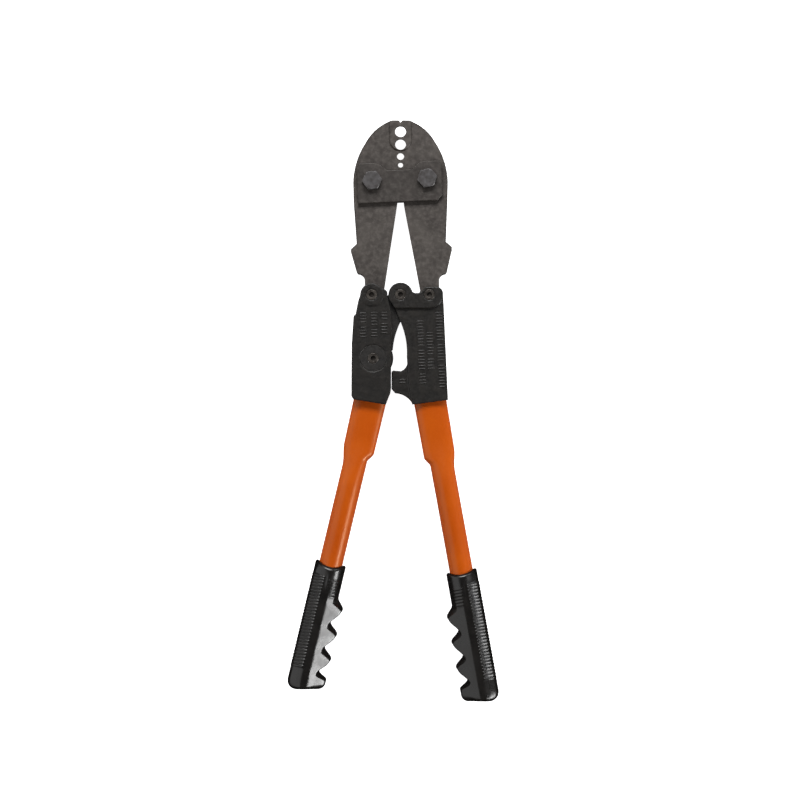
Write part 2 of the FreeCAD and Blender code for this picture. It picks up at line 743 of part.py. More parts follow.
def toggle_arm():
    """The adjustable arm in the left casting: an eye for the hinge, a fork and a large eye."""
    body = new_body("toggle_arm")
    pad_outline(body, [
        ("arm_heel_across", "-arm_heel_drop"),
        ("arm_apex_across", "-arm_apex_drop", "arm_curve", 1),
        ("-arm_low_across", "-arm_low_drop"),
        ("-adjuster_across", "-arm_foot"),
        ("-(adjuster_across + arm_flat)", "-arm_foot"),
        ("-(adjuster_across + arm_flat)", "-arm_back_drop"),
        ("-arm_root_out", "-arm_root_drop"),
        ("-arm_root_in", "-arm_root_drop"),
        ("-arm_brow_across", "arm_brow_rise"),
    ], "arm_half")
    pad_circle(body, "0", "0", "arm_eye", "arm_half")
    pad_circle(body, "-adjuster_across", "-adjuster_drop", "adjuster_eye", "arm_half")
    cut_outline(body, [
        ("-(adjuster_across + arm_flat)", "-2 * beyond"),
        ("-(adjuster_across + arm_flat)", "-beyond / 2"),
        ("-beyond", "-beyond / 2"),
        ("-beyond", "-2 * beyond"),
    ], "arm_half + 1")
    pad_outline(body, [
        ("-(link_half + arm_eye)", "0"),
        ("-(link_half + arm_eye)", "-fork_foot"),
        ("-(link_half - arm_eye)", "-fork_foot"),
        ("-(link_half - arm_eye)", "0"),
    ], "fork_half")
    pad_circle(body, "-link_half", "0", "arm_eye", "fork_half")
    slot_half = "jaw_half + side_gap"
    cut_circle(body, "-link_half", "0", "tail_eye + 1", slot_half)
    cut_outline(body, [
        ("-link_half", "-(tail_eye + 1)"),
        ("-link_half", "0"),
        ("-(link_half - tail_eye - 1)", "0"),
        ("-(link_half - tail_eye - 1)", "beyond"),
        ("-beyond", "beyond"),
        ("-beyond", "-(tail_eye + 1)"),
    ], slot_half)
    cut_circle(body, "0", "0", "pin_radius + running_gap", "arm_half + 1")
    cut_circle(body, "-link_half", "0", "pin_radius + press_gap", "fork_half + 1")
    cut_circle(body, "-adjuster_across", "-adjuster_drop",
               "eccentric_radius + eccentric_offset + running_gap", "arm_half + 1")
    return keep(body, "toggle_arm")


def eccentric_adjuster():
    """A flanged bush whose core is off its bore, so that turning it moves the arm's large eye."""
    core_low, core_high = "-left_half", "left_half - eccentric_sunk - flange_thick"
    core = part_object("Cylinder", "eccentric_core", Radius="eccentric_radius",
                       Height=f"{core_high} - ({core_low})")
    core.Placement.Base = FreeCAD.Vector(value("eccentric_offset"), 0, value(core_low))
    flange = part_object("Cylinder", "eccentric_flange_disc", Radius="eccentric_flange",
                         Height="flange_thick")
    flange.Placement.Base = UP * value(core_high)
    bore = part_object("Cylinder", "eccentric_bore", Radius="pin_radius + press_gap", Height="beyond")
    bore.Placement.Base = UP * value("-beyond / 2")
    item = cut("eccentric_cut", fuse("eccentric_solid", [core, flange]), bore)
    at(item, "-adjuster_across", "-adjuster_drop", "0")
    return keep(item, "eccentric_adjuster")


def adjuster_washer():
    disc = part_object("Cylinder", "adjuster_disc", Radius="washer_radius", Height="washer_thick")
    hole = part_object("Cylinder", "adjuster_hole", Radius="pin_radius + running_gap",
                       Height="washer_thick")
    item = cut("adjuster_washer_cut", disc, hole)
    at(item, "-adjuster_across", "-adjuster_drop", "-(left_half + washer_thick)")
    return keep(item, "adjuster_washer")


def adjuster_nut():
    item = nut("adjuster", "-adjuster_across", "-adjuster_drop", "-(left_half + washer_thick)",
               value("adjuster_nut_turn"))
    return keep(item, "adjuster_nut")


# ---------------------------------------------------------------- tubes and grips

def along_tube(item, side):
    """Put an object on a tube's axis: its Z runs down the tube and its X towards the other handle."""
    sign = SIDES[side]
    tilt = math.radians(value(side + "_tilt"))
    down = FreeCAD.Vector(sign * math.sin(tilt), -math.cos(tilt), 0)
    inward = FreeCAD.Vector(-sign * math.cos(tilt), -math.sin(tilt), 0)
    root = FreeCAD.Vector(sign * value(side + "_root_across"), -value(side + "_root_drop"), 0)
    item.Placement = FreeCAD.Placement(root, FreeCAD.Rotation(inward, down.cross(inward), down, "ZXY"))
    return item


def ring_sketch(body, height, half, thick, shift):
    """A closed outline of four arcs or straights across the tube at one distance down it."""
    offset = FreeCAD.Placement(UP * value(height), FreeCAD.Rotation())
    sketch = new_sketch(body, "XY_Plane", offset)
    straight = f"{half} - ({thick}) + 0.001"
    add_outline(sketch, [
        (f"{shift} - ({straight})", f"-({thick})"),
        (f"{shift} + {straight}", f"-({thick})", thick, 1),
        (f"{shift} + {straight}", thick),
        (f"{shift} - ({straight})", thick, thick, 1),
    ])
    return sketch


def handle_tube(side):
    """A steel tube, round below and flattened above the neck to enter the casting."""
    name = side + "_handle_tube"
    body = new_body(name)
    grip_end = f"{side}_grip_end - grip_closed - grip_bore_gap"
    stations = [
        ("-tube_tuck", "root_half", "flat_thick_half", "root_shift"),
        ("neck_start", "flat_half", "flat_thick_half", "flat_shift"),
        ("neck_step", "neck_half", "neck_thick_half", "0"),
        ("neck_end", "tube_radius", "tube_radius", "0"),
        (grip_end, "tube_radius", "tube_radius", "0"),
    ]
    for kind, wall in (("AdditiveLoft", "0"), ("SubtractiveLoft", "tube_wall")):
        for start, end in zip(stations, stations[1:]):
            loft = body.newObject("PartDesign::" + kind, name + "_" + kind.lower())
            profile, section = (
                ring_sketch(body, height, f"{half} - {wall}", f"{thick} - {wall}", shift)
                for height, half, thick, shift in (start, end))
            loft.Profile = profile
            loft.Sections = [section]
            loft.Ruled = True
            doc.recompute()
    along_tube(body, side)
    return keep(body, name)


def grip(side):
    """A moulded grip: a closed sleeve on the tube with finger ridges on its inner side."""
    name = side + "_grip"
    body = new_body(name)
    start, end = side + "_grip_start", side + "_grip_end"
    profile = new_sketch(body, "XZ_Plane")
    add_outline(profile, [
        ("0", start),
        ("grip_radius", start),
        ("grip_radius", f"{end} - grip_round", "grip_round", 1),
        ("grip_radius - grip_round", end),
        ("0", end),
    ])
    turned = body.newObject("PartDesign::Revolution", name + "_turned")
    turned.Profile = profile
    turned.ReferenceAxis = (profile, ["V_Axis"])
    doc.recompute()
    ridges = new_sketch(body, "XZ_Plane")
    corners = [
        ("0", f"{start} + ridge_first - 0.5 * ridge_pitch"),
        ("grip_radius - ridge_sunk", f"{start} + ridge_first - 0.5 * ridge_pitch", "ridge_valley", -1),
    ]
    for number in range(int(value("ridge_count"))):
        crest = f"{start} + ridge_first + {number} * ridge_pitch"
        corners.append(("ridge_reach", f"{crest} - ridge_land", "1.1 * ridge_land", 1))
        corners.append(("ridge_reach", f"{crest} + ridge_land", "ridge_valley", -1))
    corners[-1] = ("ridge_reach", corners[-1][1], "ridge_toe_round", 1)
    corners.append(("ridge_reach - ridge_toe", f"{end} - ridge_end_gap"))
    corners.append(("0", f"{end} - ridge_end_gap"))
    add_outline(ridges, corners)
    slab(body, ridges, "ridge_half")
    bore = new_sketch(body)
    add_circle(bore, "0", "0", "tube_radius + press_gap")
    pocket = body.newObject("PartDesign::Pocket", name + "_bore")
    pocket.Profile = bore
    pocket.Reversed = True
    pocket.setExpression("Length", bound(f"{end} - grip_closed"))
    doc.recompute()
    along_tube(body, side)
    return keep(body, name)


# ---------------------------------------------------------------- assembly

def build():
    strap("front_strap", 1)
    strap("rear_strap", -1)
    jaw_bolt("left")
    jaw_bolt("right")
    jaw_bolt_washers()
    jaw_bolt_nuts()
    jaw("left")
    jaw("right")
    right_casting()
    drilled_pin("right_link_pin", "link_half", "0", "-(ear_half + pin_proud)", "ear_half + pin_proud")
    drilled_pin("centre_hinge_pin", "0", "0", "-(ear_half + pin_proud)", "ear_half + pin_proud")
    handle_tube("right")
    grip("right")
    left_casting()
    toggle_arm()
    drilled_pin("left_link_pin", "-link_half", "0", "-(left_ear_half + pin_proud)",
                "left_ear_half + pin_proud")
    eccentric_adjuster()
    drilled_pin("adjuster_bolt", "-adjuster_across", "-adjuster_drop",
                "-(left_half + washer_thick + nut_height + bolt_tail)", "left_half - 0.2")
    adjuster_washer()
    adjuster_nut()
    handle_tube("left")
    grip("left")


def centre_on_footprint():
    """Shift every piece so that the origin is in the middle of the tool's footprint."""
    box = FreeCAD.BoundBox()
    for item in nodes:
        box.add(item.Shape.optimalBoundingBox(True, False))
    shift = FreeCAD.Vector(-box.Center.x, -box.Center.y, -box.ZMin)
    for item in nodes:
        item.Placement.Base = item.Placement.Base + shift
    doc.recompute()
    return shift, box


def check_and_write():
    for item in doc.Objects:
        if {"Invalid", "Error"} & set(item.State):
            raise RuntimeError(f"{item.Label} failed: {item.State}")
    os.makedirs("parts", exist_ok=True)
    for item in nodes:
        if item.Shape.isNull() or not item.Shape.isValid():
            raise RuntimeError(f"{item.Label} has no valid shape")
        item.Shape.exportStep(f"parts/{item.Label}.step")


build()
origin_shift, footprint = centre_on_footprint()
check_and_write()
print(f"{len(nodes)} nodes, size {footprint.XLength:.2f} x {footprint.YLength:.2f} x {footprint.ZLength:.2f}")
print(f"hinge at {origin_shift.x:.4f}, {origin_shift.y:.4f}, {origin_shift.z:.4f}")
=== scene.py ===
"""The looks of a hand crimping tool with orange tube handles, lying flat on a pale floor."""

import json
import math

import bmesh
import bpy
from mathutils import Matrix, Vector


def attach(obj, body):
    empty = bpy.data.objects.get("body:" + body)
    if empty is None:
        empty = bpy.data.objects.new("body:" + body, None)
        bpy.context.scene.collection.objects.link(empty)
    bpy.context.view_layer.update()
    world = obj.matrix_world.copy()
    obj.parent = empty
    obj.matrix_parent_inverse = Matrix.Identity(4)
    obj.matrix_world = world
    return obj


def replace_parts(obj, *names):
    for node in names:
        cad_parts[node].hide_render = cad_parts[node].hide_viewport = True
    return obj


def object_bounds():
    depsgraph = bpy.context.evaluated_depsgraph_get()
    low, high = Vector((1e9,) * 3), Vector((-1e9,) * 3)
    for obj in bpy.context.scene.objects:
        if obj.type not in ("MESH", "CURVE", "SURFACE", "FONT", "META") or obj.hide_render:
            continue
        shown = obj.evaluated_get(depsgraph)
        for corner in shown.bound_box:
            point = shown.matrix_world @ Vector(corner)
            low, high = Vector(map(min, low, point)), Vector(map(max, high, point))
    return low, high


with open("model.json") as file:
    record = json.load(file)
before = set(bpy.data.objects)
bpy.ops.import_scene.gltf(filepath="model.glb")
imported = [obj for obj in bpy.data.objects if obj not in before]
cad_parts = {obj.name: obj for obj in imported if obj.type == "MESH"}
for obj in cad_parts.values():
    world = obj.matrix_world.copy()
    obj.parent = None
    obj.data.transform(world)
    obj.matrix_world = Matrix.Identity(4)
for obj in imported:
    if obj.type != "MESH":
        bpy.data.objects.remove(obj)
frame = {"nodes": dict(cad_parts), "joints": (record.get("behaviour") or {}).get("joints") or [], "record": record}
cad_low, cad_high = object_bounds()
NODES = frame["nodes"]
MM = 0.001


# ---------------------------------------------------------------- shader helpers

class Shader:
    """A Principled material with short calls for the nodes that feed it."""

    def __init__(self, name, **constants):
        self.material = bpy.data.materials.new(name)
        self.material.use_nodes = True
        self.tree = self.material.node_tree
        self.surface = self.tree.nodes["Principled BSDF"]
        for socket, number in constants.items():
            self.surface.inputs[socket.replace("_", " ")].default_value = number
        self.place = self.add("TexCoord").outputs["Object"]

    def add(self, kind, *wires, **settings):
        """Add a shader node; wires are pairs of (input socket, source or constant)."""
        node = self.tree.nodes.new("ShaderNode" + kind)
        for name, setting in settings.items():
            setattr(node, name, setting)
        for socket, source in wires:
            self.wire(node.inputs[socket], source)
        return node

    def wire(self, socket, source):
        if isinstance(source, bpy.types.NodeSocket):
            self.tree.links.new(source, socket)
        else:
            socket.default_value = source

    def stretched(self, scale, turn=0.0):
        """Object coordinates turned about Z and scaled differently along each axis."""
        turned = self.add("Mapping", ("Vector", self.place), ("Rotation", (0, 0, turn)))
        return self.add("Mapping", ("Vector", turned.outputs[0]), ("Scale", scale)).outputs[0]

    def noise(self, size_mm, detail=3.0, rough=0.55, place=None, warp=0.0):
        """Cloudy noise whose patches are about size_mm across."""
        wires = [("Vector", place or self.place), ("Scale", 1 / (size_mm * MM)), ("Detail", detail),
                 ("Roughness", rough), ("Distortion", warp)]
        return self.add("TexNoise", *wires).outputs["Fac"]

    def cells(self, size_mm):
        """Distance to the nearest of scattered points, for pits."""
        node = self.add("TexVoronoi", ("Vector", self.place), ("Scale", 1 / (size_mm * MM)))
        return node.outputs["Distance"]

    def span(self, source, low, high, to_low=0.0, to_high=1.0):
        """Map a range onto another, clamped."""
        return self.add("MapRange", ("Value", source), ("From Min", low), ("From Max", high),
                        ("To Min", to_low), ("To Max", to_high)).outputs[0]

    def maths(self, operation, *values):
        node = self.add("Math", operation=operation)
        for socket, source in zip(node.inputs, values):
            self.wire(socket, source)
        return node.outputs[0]

    def mix(self, share, first, second):
        """Blend two colours; share 0 gives the first."""
        node = self.add("Mix", data_type="RGBA")
        for index, source in ((0, share), (6, first), (7, second)):
            self.wire(node.inputs[index], source)
        return node.outputs[2]

    def edges(self, radius_mm, low=0.02, high=0.25):
        """A mask that is 1 along sharp convex and concave edges."""
        soft = self.add("Bevel", ("Radius", radius_mm * MM), samples=6).outputs[0]
        plain = self.add("NewGeometry").outputs["Normal"]
        dot = self.add("VectorMath", (0, soft), (1, plain), operation="DOT_PRODUCT").outputs["Value"]
        return self.span(self.maths("SUBTRACT", 1.0, dot), low, high)

    def bumps(self, *layers):
        """Stack bump layers of (height, distance in millimetres, strength)."""
        normal = None
        for height, distance, strength in layers:
            wires = [("Height", height), ("Distance", distance * MM), ("Strength", strength)]
            if normal:
                wires.append(("Normal", normal))
            normal = self.add("Bump", *wires).outputs[0]
        self.wire(self.surface.inputs["Normal"], normal)

    def finish(self, colour, roughness):
        self.wire(self.surface.inputs["Base Color"], colour)
        self.wire(self.surface.inputs["Roughness"], roughness)
        return self.material


def brighter(colour, times):
    """The same colour, lighter, for bare metal and painted highlights on edges."""
    return [min(1, level * times) for level in colour[:3]] + [1]


def rgb(red, green, blue):
    """A linear colour from the usual 0-255 screen values."""
    def linear(level):
        level /= 255
        return level / 12.92 if level <= 0.04045 else ((level + 0.055) / 1.055) ** 2.4
    return (linear(red), linear(green), linear(blue), 1.0)


# ---------------------------------------------------------------- materials

def forged_steel(name, dark, mid, light, rough, turn=0.0, wear_and_highlight=0.4):
    """Black-oxide steel: clouded, finely grained, scuffed, with edges brightened partly by scuffing and partly by
    a painted highlight.
    """
    s = Shader(name, Metallic=0.35, Specular_IOR_Level=0.5)
    clouds = s.noise(17, 4, 0.6, warp=0.6)
    mottle = s.noise(3.6, 4, 0.65)
    grain = s.noise(0.5, 2, 0.6)
    brushed = s.noise(1.0, 3, 0.6, s.stretched((0.16, 1.9, 1.0), turn))
    colour = s.mix(s.span(clouds, 0.33, 0.68), dark, mid)
    colour = s.mix(s.span(mottle, 0.45, 0.75, 0.0, 0.55), colour, light)
    colour = s.mix(s.span(brushed, 0.55, 0.8, 0.0, 0.25), colour, light)
    colour = s.mix(s.span(grain, 0.55, 0.8, 0.0, 0.3), colour, dark)
    # edge mask: bright bare metal where the oxide is scuffed, and partly a painted highlight along the edges
    worn_and_highlit = s.maths("MULTIPLY", s.edges(0.8), s.span(s.noise(2.2, 3, 0.7), 0.35, 0.62, 0.1, 1.0))
    colour = s.mix(s.maths("MULTIPLY", worn_and_highlit, wear_and_highlight), colour, brighter(light, 2.2))
    roughness = s.maths("ADD", s.span(mottle, 0.3, 0.7, rough - 0.07, rough + 0.09),
                        s.span(brushed, 0.4, 0.7, -0.03, 0.04))
    s.bumps((clouds, 0.25, 0.25), (mottle, 0.10, 0.35), (grain, 0.03, 0.5), (brushed, 0.02, 0.35))
    return s.finish(colour, roughness)


def cast_enamel(name, dark, light, rough):
    """Black enamel over a sand-cast surface: lumpy, softly glossy, with edges lightened partly by scuffing and
    partly by a painted highlight.
    """
    s = Shader(name, Metallic=0.0, Specular_IOR_Level=0.4, Coat_Weight=0.1, Coat_Roughness=0.3)
    lumps = s.noise(5.0, 3, 0.5)
    sand = s.noise(0.95, 3, 0.6)
    grain = s.noise(0.35, 2, 0.5)
    pits = s.span(s.cells(2.6), 0.05, 0.32)
    colour = s.mix(s.span(lumps, 0.35, 0.7), dark, light)
    colour = s.mix(s.span(sand, 0.5, 0.8, 0.0, 0.5), colour, light)
    # edge mask: partly scuffed enamel, partly a painted highlight along the edges in a light grey
    worn_and_highlit = s.maths("MULTIPLY", s.edges(0.9, 0.03, 0.3), s.span(s.noise(1.7, 3, 0.7), 0.42, 0.65))
    colour = s.mix(s.maths("MULTIPLY", worn_and_highlit, 0.75), colour, rgb(112, 106, 100))
    roughness = s.span(sand, 0.3, 0.7, rough - 0.08, rough + 0.12)
    s.bumps((lumps, 0.5, 0.5), (sand, 0.2, 0.6), (pits, 0.06, 0.3), (grain, 0.03, 0.4))
    return s.finish(colour, roughness)


def machined_steel(name, dark, light, rough, metal):
    """Turned pins and bolts: fine grain, oily dark patches, edges brightened partly by scuffing and partly by a
    painted highlight.
    """
    s = Shader(name, Metallic=metal, Specular_IOR_Level=0.5)
    patches = s.noise(4.0, 3, 0.5)
    grain = s.noise(0.3, 2, 0.6)
    colour = s.mix(s.span(patches, 0.35, 0.7), dark, light)
    # edge mask: partly scuffed metal, partly a painted highlight on edges and chamfer rings
    rubbed_and_highlit = s.maths("MULTIPLY", s.edges(0.7), 0.7)
    colour = s.mix(rubbed_and_highlit, colour, brighter(light, 2.4))
    s.bumps((patches, 0.03, 0.2), (grain, 0.01, 0.3))
    return s.finish(colour, s.span(patches, 0.3, 0.7, rough - 0.06, rough + 0.08))


def enamel(name):
    """Orange gloss enamel on steel tube, with a warm gloss, orange peel, dark specks and drift."""
    s = Shader(name, Metallic=0.0, Specular_IOR_Level=0.5, Specular_Tint=(1.0, 0.72, 0.42, 1.0),
               Coat_Weight=0.04, Coat_Roughness=0.12)
    drift = s.noise(32, 3, 0.5)
    peel = s.noise(1.5, 2, 0.4)
    specks = s.span(s.noise(0.5, 1, 0.5), 0.70, 0.78)
    colour = s.mix(s.span(drift, 0.3, 0.7), rgb(163, 64, 0), rgb(175, 74, 0))
    colour = s.mix(s.span(peel, 0.35, 0.7, 0.0, 0.25), colour, rgb(178, 76, 2))
    colour = s.mix(s.maths("MULTIPLY", specks, 0.35), colour, rgb(110, 44, 6))
    s.bumps((drift, 0.2, 0.1), (peel, 0.02, 0.35))
    return s.finish(colour, s.span(peel, 0.3, 0.7, 0.30, 0.40))


def vinyl(name):
    """Black moulded vinyl: fine matt grain with polished patches where hands rub it."""
    s = Shader(name, Metallic=0.0, Specular_IOR_Level=0.5)
    wear_and_highlight = s.noise(14, 3, 0.5)
    grain = s.noise(0.4, 2, 0.6)
    dust = s.noise(2.0, 4, 0.7)
    colour = s.mix(s.span(wear_and_highlight, 0.3, 0.7), rgb(8, 7, 6), rgb(17, 14, 12))
    colour = s.mix(s.span(dust, 0.55, 0.8, 0.0, 0.3), colour, rgb(38, 34, 31))
    s.bumps((wear_and_highlight, 0.2, 0.15), (dust, 0.03, 0.3), (grain, 0.015, 0.45))
    return s.finish(colour, s.span(wear_and_highlight, 0.3, 0.7, 0.22, 0.34))


MATERIALS = {
    "jaw_steel": forged_steel("jaw_forging", rgb(50, 45, 42), rgb(70, 65, 61), rgb(94, 88, 84), 0.5),
    # stronger edge brightening on the strap: scuffed edges and, mostly, a painted highlight along them
    "strap_steel": forged_steel("strap_plate", rgb(44, 40, 37), rgb(58, 53, 50), rgb(80, 75, 71), 0.48,
                                turn=0.5, wear_and_highlight=0.85),
    "bolt_steel": machined_steel("bolt_plating", rgb(62, 59, 58), rgb(80, 78, 79), 0.40, 0.35),
    "pin_steel": machined_steel("pin_steel", rgb(48, 44, 41), rgb(80, 75, 70), 0.34, 0.5),
    "arm_steel": cast_enamel("arm_forging", rgb(16, 14, 13), rgb(30, 28, 26), 0.42),
    "black_casting": cast_enamel("casting_enamel", rgb(12, 10, 8), rgb(27, 24, 21), 0.38),
    "orange_enamel": enamel("orange_enamel"),
    "grip_vinyl": vinyl("grip_vinyl"),
}
SLOT_OF = {part["node"]: part["material_slot"] for part in frame["record"]["subparts"]}


def dress(item, slot):
    """Give an object one material in every slot."""
    if not item.material_slots:
        item.data.materials.append(None)
    for holder in item.material_slots:
        holder.link = "OBJECT"
        holder.material = MATERIALS[slot]


for name, item in NODES.items():
    dress(item, SLOT_OF[name])


# ---------------------------------------------------------------- CAD pieces that stay

WELD_MM = 0.002       # vertices this near are one


def weld(item):
    item.modifiers.new("weld", "WELD").merge_threshold = WELD_MM * MM


def crisp_edges(name, width_mm):
    """Merge the tessellation into plain faces and round their edges slightly."""
    item = NODES[name]
    weld(item)
    flat = item.modifiers.new("flat", "DECIMATE")
    flat.decimate_type = "DISSOLVE"
    flat.angle_limit = math.radians(0.4)
    bevel = item.modifiers.new("bevel", "BEVEL")
    bevel.width = width_mm * MM
    bevel.segments = 2
    bevel.limit_method = "ANGLE"
    bevel.angle_limit = math.radians(25)
    bevel.miter_outer = "MITER_ARC"
    bevel.harden_normals = True
    bevel.use_clamp_overlap = True


EDGE_MM = {           # width of the rounding along each piece's edges
    "left_jaw": 0.4, "right_jaw": 0.4, "toggle_arm": 0.6,
    "front_strap": 0.35, "rear_strap": 0.35,
    "left_jaw_bolt": 0.3, "right_jaw_bolt": 0.3, "jaw_bolt_nuts": 0.3, "adjuster_nut": 0.3,
    "adjuster_washer": 0.25, "eccentric_adjuster": 0.25, "jaw_bolt_lock_washers": 0.2,
    "right_link_pin": 0.15, "centre_hinge_pin": 0.15, "left_link_pin": 0.15, "adjuster_bolt": 0.15,
}
for name, width in EDGE_MM.items():
    crisp_edges(name, width)


def soft_casting(name):
    """Turn a CAD casting into a dense mesh with the rounded edges of a sand casting."""
    item = NODES[name]
    weld(item)
    remesh = item.modifiers.new("remesh", "REMESH")
    remesh.mode = "VOXEL"
    remesh.voxel_size = 0.42 * MM
    remesh.use_smooth_shade = True
    relax = item.modifiers.new("relax", "SMOOTH")
    relax.factor = 0.5
    relax.iterations = 5


soft_casting("left_handle_casting")
soft_casting("right_handle_casting")


# ---------------------------------------------------------------- handle frames

HINGE = Vector(next(j["pos_m"] for j in frame["joints"] if j["name"] == "handle_hinge"))
UP = Vector((0, 0, 1))


class Axis:
    """A tube's own frame: s down the tube from its casting, n towards the other handle, h up."""

    def __init__(self, sign, tilt, across, drop):
        tilt = math.radians(tilt)
        self.root = HINGE + Vector((sign * across, -drop, 0)) * MM
        self.down = Vector((sign * math.sin(tilt), -math.cos(tilt), 0))
        self.inward = Vector((-sign * math.cos(tilt), -math.sin(tilt), 0))

    def point(self, s, n, h):
        """The place of (s, n, h), given in millimetres."""
        return self.root + (self.down * s + self.inward * n + UP * h) * MM


AXES = {"left": Axis(-1, 13.4, 25.4, 87.2), "right": Axis(1, 10.3, 24.6, 88.0)}
GRIP_SPAN = {"left": (134.3, 241.0), "right": (138.6, 246.8)}     # s at the grip's two ends
BODY_OF = {"left": "left_handle", "right": "right_handle"}


def smooth(value, low, high):
    """A smooth step from 0 at low to 1 at high."""
    t = min(1.0, max(0.0, (value - low) / (high - low)))
    return t * t * (3 - 2 * t)


def lerp(share, first, second):
    """The value a share of the way from first to second."""
    return first + (second - first) * share


def skin(build, rows):
    """Join rings of vertices, each to the next, with four-sided faces."""
    for first, second in zip(rows, rows[1:]):
        for index in range(len(first)):
            after = (index + 1) % len(first)
            build.faces.new((first[index], first[after], second[after], second[index]))


def smooth_piece(build, name, body, slot):
    """Make a smooth-shaded piece from a mesh under construction, riding on a body."""
    bmesh.ops.recalc_face_normals(build, faces=build.faces)
    mesh = bpy.data.meshes.new(name)
    build.to_mesh(mesh)
    build.free()
    for face in mesh.polygons:
        face.use_smooth = True
    item = bpy.data.objects.new(name, mesh)
    bpy.context.scene.collection.objects.link(item)
    dress(item, slot)
    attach(item, body)
    return item


def loft(name, rings, body, slot, node):
    """A closed mesh through rings of points, riding on a body in place of a CAD node."""
    build = bmesh.new()
    rows = [[build.verts.new(point) for point in ring] for ring in rings]
    skin(build, rows)
    build.faces.new(rows[0])
    build.faces.new(rows[-1])
    bmesh.ops.remove_doubles(build, verts=build.verts, dist=0.01 * MM)
    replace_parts(smooth_piece(build, name, body, slot), node)


# ---------------------------------------------------------------- tubes

TUBE_RADIUS = 9.525
NECK = {"left": 40.0, "right": 42.8}     # where each tube steps in on its inner side
ROOT_INNER, ROOT_OUTER = 13.5, 13.0      # half widths of the flattened root
ROOT_TAPER = 0.018                       # how much the root's outer side comes in per millimetre
ROOT_THICK = 5.9                         # half thickness of the flattened root
ROOT_TOP = -9.0                          # s at the tube's end inside the casting
UNDER_GRIP = 14                          # how far the tube runs into the grip
RING_STEPS = 72


def tube_ring(axis, s, neck):
    """One cross-section: a crowned oval near the casting, a circle below the neck."""
    inner = lerp(smooth(s, neck, neck + 8.2), ROOT_INNER, TUBE_RADIUS)
    outer = lerp(smooth(s, neck - 3.5, neck + 15.0), ROOT_OUTER - ROOT_TAPER * s, TUBE_RADIUS)
    thick = lerp(smooth(s, 28.0, 72.0), ROOT_THICK, TUBE_RADIUS)
    power = lerp(smooth(s, 34.0, 62.0), 2.5, 2.0)      # 2 is an ellipse, more is boxier
    ring = []
    for step in range(RING_STEPS):
        angle = 2 * math.pi * step / RING_STEPS
        c, v = math.cos(angle), math.sin(angle)
        reach = inner if c > 0 else outer
        n = math.copysign(abs(c) ** (2 / power), c) * reach
        ring.append(axis.point(s, n, math.copysign(abs(v) ** (2 / power), v) * thick))
    return ring


def tube(side):
    """One painted tube, with a ring every millimetre."""
    count = math.ceil(GRIP_SPAN[side][0] + UNDER_GRIP - ROOT_TOP)
    rings = [tube_ring(AXES[side], ROOT_TOP + step, NECK[side]) for step in range(count)]
    loft(side + "_tube_painted", rings, BODY_OF[side], "orange_enamel", side + "_handle_tube")


# ---------------------------------------------------------------- grips

GRIP_RADIUS = 12.6
PITCH = 20.6
CREST_COUNT = 4
TOP = 11.9            # height of the narrow flat along the top of the grip
FLAT_FROM, FLAT_TO = -1.6, 3.3
FACET_SLOPE = math.tan(math.radians(28))
RIB_PITCH = 2.6
PANEL_RIB, THROAT_RIB = 0.55, 0.34       # height of the ribs on the outer panel and in the throat
PANEL_RISE = 0.10                        # height of the panel between its ribs
OUTER_ROUND, INNER_ROUND, TOP_ROUND = 9.5, 4.6, 2.6      # corners of the grip's end, by side
OUTER_HALF = 13.0                        # half width that the outer corner comes in from
SCOOP = {"left": 5.2, "right": 4.2}      # how deep the grip's mouth dips over the tube
END_GAP = {"left": 0.9, "right": 0.2}    # what the rounded end stops short of the grip's length
LIP = [(9.0, -3.3), (0.6, -3.2), (0.1, -2.4), (0.0, -1.5), (0.25, -0.6), (0.9, -0.12)]   # (s, growth)
LIP_END = 1.6
RING_GAP = 0.32                          # distance between rings, a fraction of a rib
END_RINGS = 22


def ridges(s, first_crest, high, low, share):
    """Reach of a row of finger ridges; share is how much of the pitch each one takes to fall."""
    rise = (1 - share) * PITCH
    last_crest = first_crest + (CREST_COUNT - 1) * PITCH
    if s >= last_crest:
        return high
    if s < first_crest:
        throat = max(low, GRIP_RADIUS) if low > 10 else low
        return lerp(smooth(s, first_crest - rise, first_crest), throat, high)
    phase = ((s - first_crest) / PITCH) % 1.0
    turn = phase / share if phase < share else (1 - phase) / (1 - share)
    return lerp(0.5 + 0.5 * math.cos(math.pi * turn), low, high)


def side_reach(s):
    """The ridges at the middle height of the grip."""
    return ridges(s, 35.1, 18.3, 11.0, 0.56)


def facet_reach(s):
    """The ridges along the edge of the upper facet, which lean down the grip."""
    return ridges(s, 37.0, 17.5, 9.1, 0.71)


# The shares of the half section at which its corners lie, from the outer side to the finger side.
CORNER_SHARES = [0.0, 0.05, 0.11, 0.18, 0.29, 0.42, 0.54, 0.82, 0.92, 1.0]
SECTION_STEPS = 84
SOFTENING = 5


